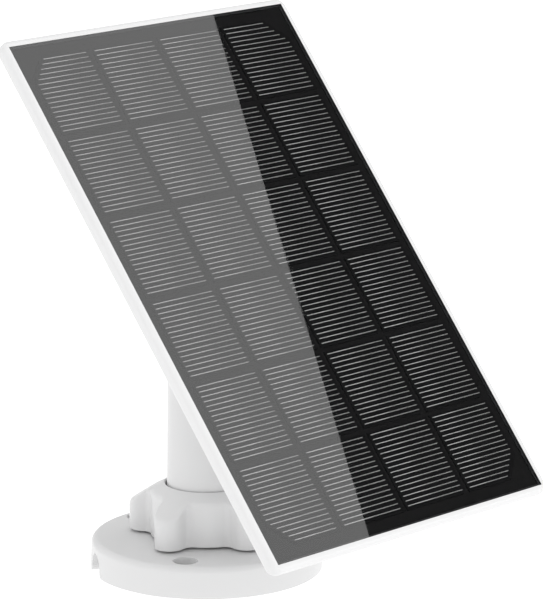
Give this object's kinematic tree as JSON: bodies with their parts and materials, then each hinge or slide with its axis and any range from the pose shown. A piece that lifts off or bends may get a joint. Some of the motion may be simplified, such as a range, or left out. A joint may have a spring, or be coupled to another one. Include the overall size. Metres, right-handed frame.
{
  "type": "solar panel with wall bracket",
  "caption": "Flat rectangular solar panel on a bracket: a round screw-on base, a swivelling stem locked by a star nut, a tilt fork, and a threaded stud on which the panel turns.",
  "frame": {"origin": "centre of the round base's flat underside, on the swivel axis", "axes": "+Z leaves the wall along the stem's swivel axis, -Y is the way the panel faces at rest, X is the tilt pin's axis"},
  "size_m": [0.117, 0.1198, 0.1634],
  "materials": {
    "white_shell": "fine satin moulded texture",
    "white_grip": "satin moulded",
    "white_frame": "smooth satin",
    "natural_nylon": "satin",
    "black_polymer": "matte",
    "steel": "zinc plated",
    "brass": "machined",
    "seal_rubber": "matte",
    "grey_rubber": "matte",
    "foam_tape": "open foam",
    "black_board": "laminated",
    "cell_silicon": "antireflective",
    "tinned_ribbon": "tinned copper",
    "clear_cover": "clear, glossy",
    "circuit_green": "solder mask",
    "tan_ceramic": "matte",
    "red_lead": "cable insulation"
  },
  "bodies": {
    "base": {"base_puck": "white_shell", "thrust_washer": "black_polymer"},
    "clamp": {"clamp_ring": "natural_nylon"},
    "nut": {"star_nut": "white_grip"},
    "stem": {"stem": "white_shell", "foot_washer": "steel", "foot_screw": "steel", "tilt_bolt": "steel", "bolt_washer": "steel", "tilt_nut": "steel"},
    "arm": {"tilt_arm": "white_shell", "hinge_sleeve": "steel", "friction_washers": "black_polymer", "mount_stud": "steel"},
    "slip_washer": {"ring_washer": "seal_rubber"},
    "thumb_ring": {"lock_ring": "white_grip"},
    "panel": {"panel_tray": "white_frame", "foam_frame": "foam_tape", "backing_board": "black_board", "solar_cells": "cell_silicon", "bus_ribbons": "tinned_ribbon", "front_cover": "clear_cover", "junction_box": "white_shell", "box_seal": "seal_rubber", "box_screws": "steel", "thread_insert": "brass", "regulator_board": "circuit_green", "power_inductor": "black_polymer", "control_chip": "black_polymer", "filter_capacitors": "tan_ceramic", "blocking_diode": "black_polymer", "positive_lead": "red_lead", "negative_lead": "black_polymer", "output_socket": "steel", "socket_seal": "seal_rubber", "flap_pin": "steel"},
    "flap": {"socket_flap": "grey_rubber"}
  },
  "joints": [
    {"name": "nut_turn", "type": "hinge", "parent": "clamp", "child": "nut", "pos_m": [0, 0, 0.02], "axis": [0, 0, 1], "range_deg": [0, 270]},
    {"name": "nut_rise", "type": "slide", "parent": "base", "child": "clamp", "axis": [0, 0, 1], "range_m": [0, 0.0015]},
    {"name": "stem_pan", "type": "hinge", "parent": "base", "child": "stem", "pos_m": [0, 0, 0.0096], "axis": [0, 0, 1], "continuous": true},
    {"name": "panel_tilt", "type": "hinge", "parent": "stem", "child": "arm", "pos_m": [0, 0, 0.0715], "axis": [1, 0, 0], "range_deg": [-51, 18]},
    {"name": "ring_turn", "type": "hinge", "parent": "slip_washer", "child": "thumb_ring", "pos_m": [0, 0, 0.0715], "axis": [0, 0.7771, -0.6293], "range_deg": [0, 180]},
    {"name": "ring_back", "type": "slide", "parent": "arm", "child": "slip_washer", "axis": [0, 0.7771, -0.6293], "range_m": [0, 0.00064]},
    {"name": "panel_roll", "type": "hinge", "parent": "arm", "child": "panel", "pos_m": [0, 0, 0.0715], "axis": [0, -0.7771, 0.6293], "range_deg": [-90, 90]},
    {"name": "flap_open", "type": "hinge", "parent": "panel", "child": "flap", "pos_m": [0, -0.04104, 0.0642], "axis": [1, 0, 0], "range_deg": [0, 110]}
  ],
  "couplings": [
    {"joint": "nut_turn", "follows": "nut_rise", "rad_per_m": 3141.6},
    {"joint": "ring_turn", "follows": "ring_back", "rad_per_m": 4908.7}
  ]
}
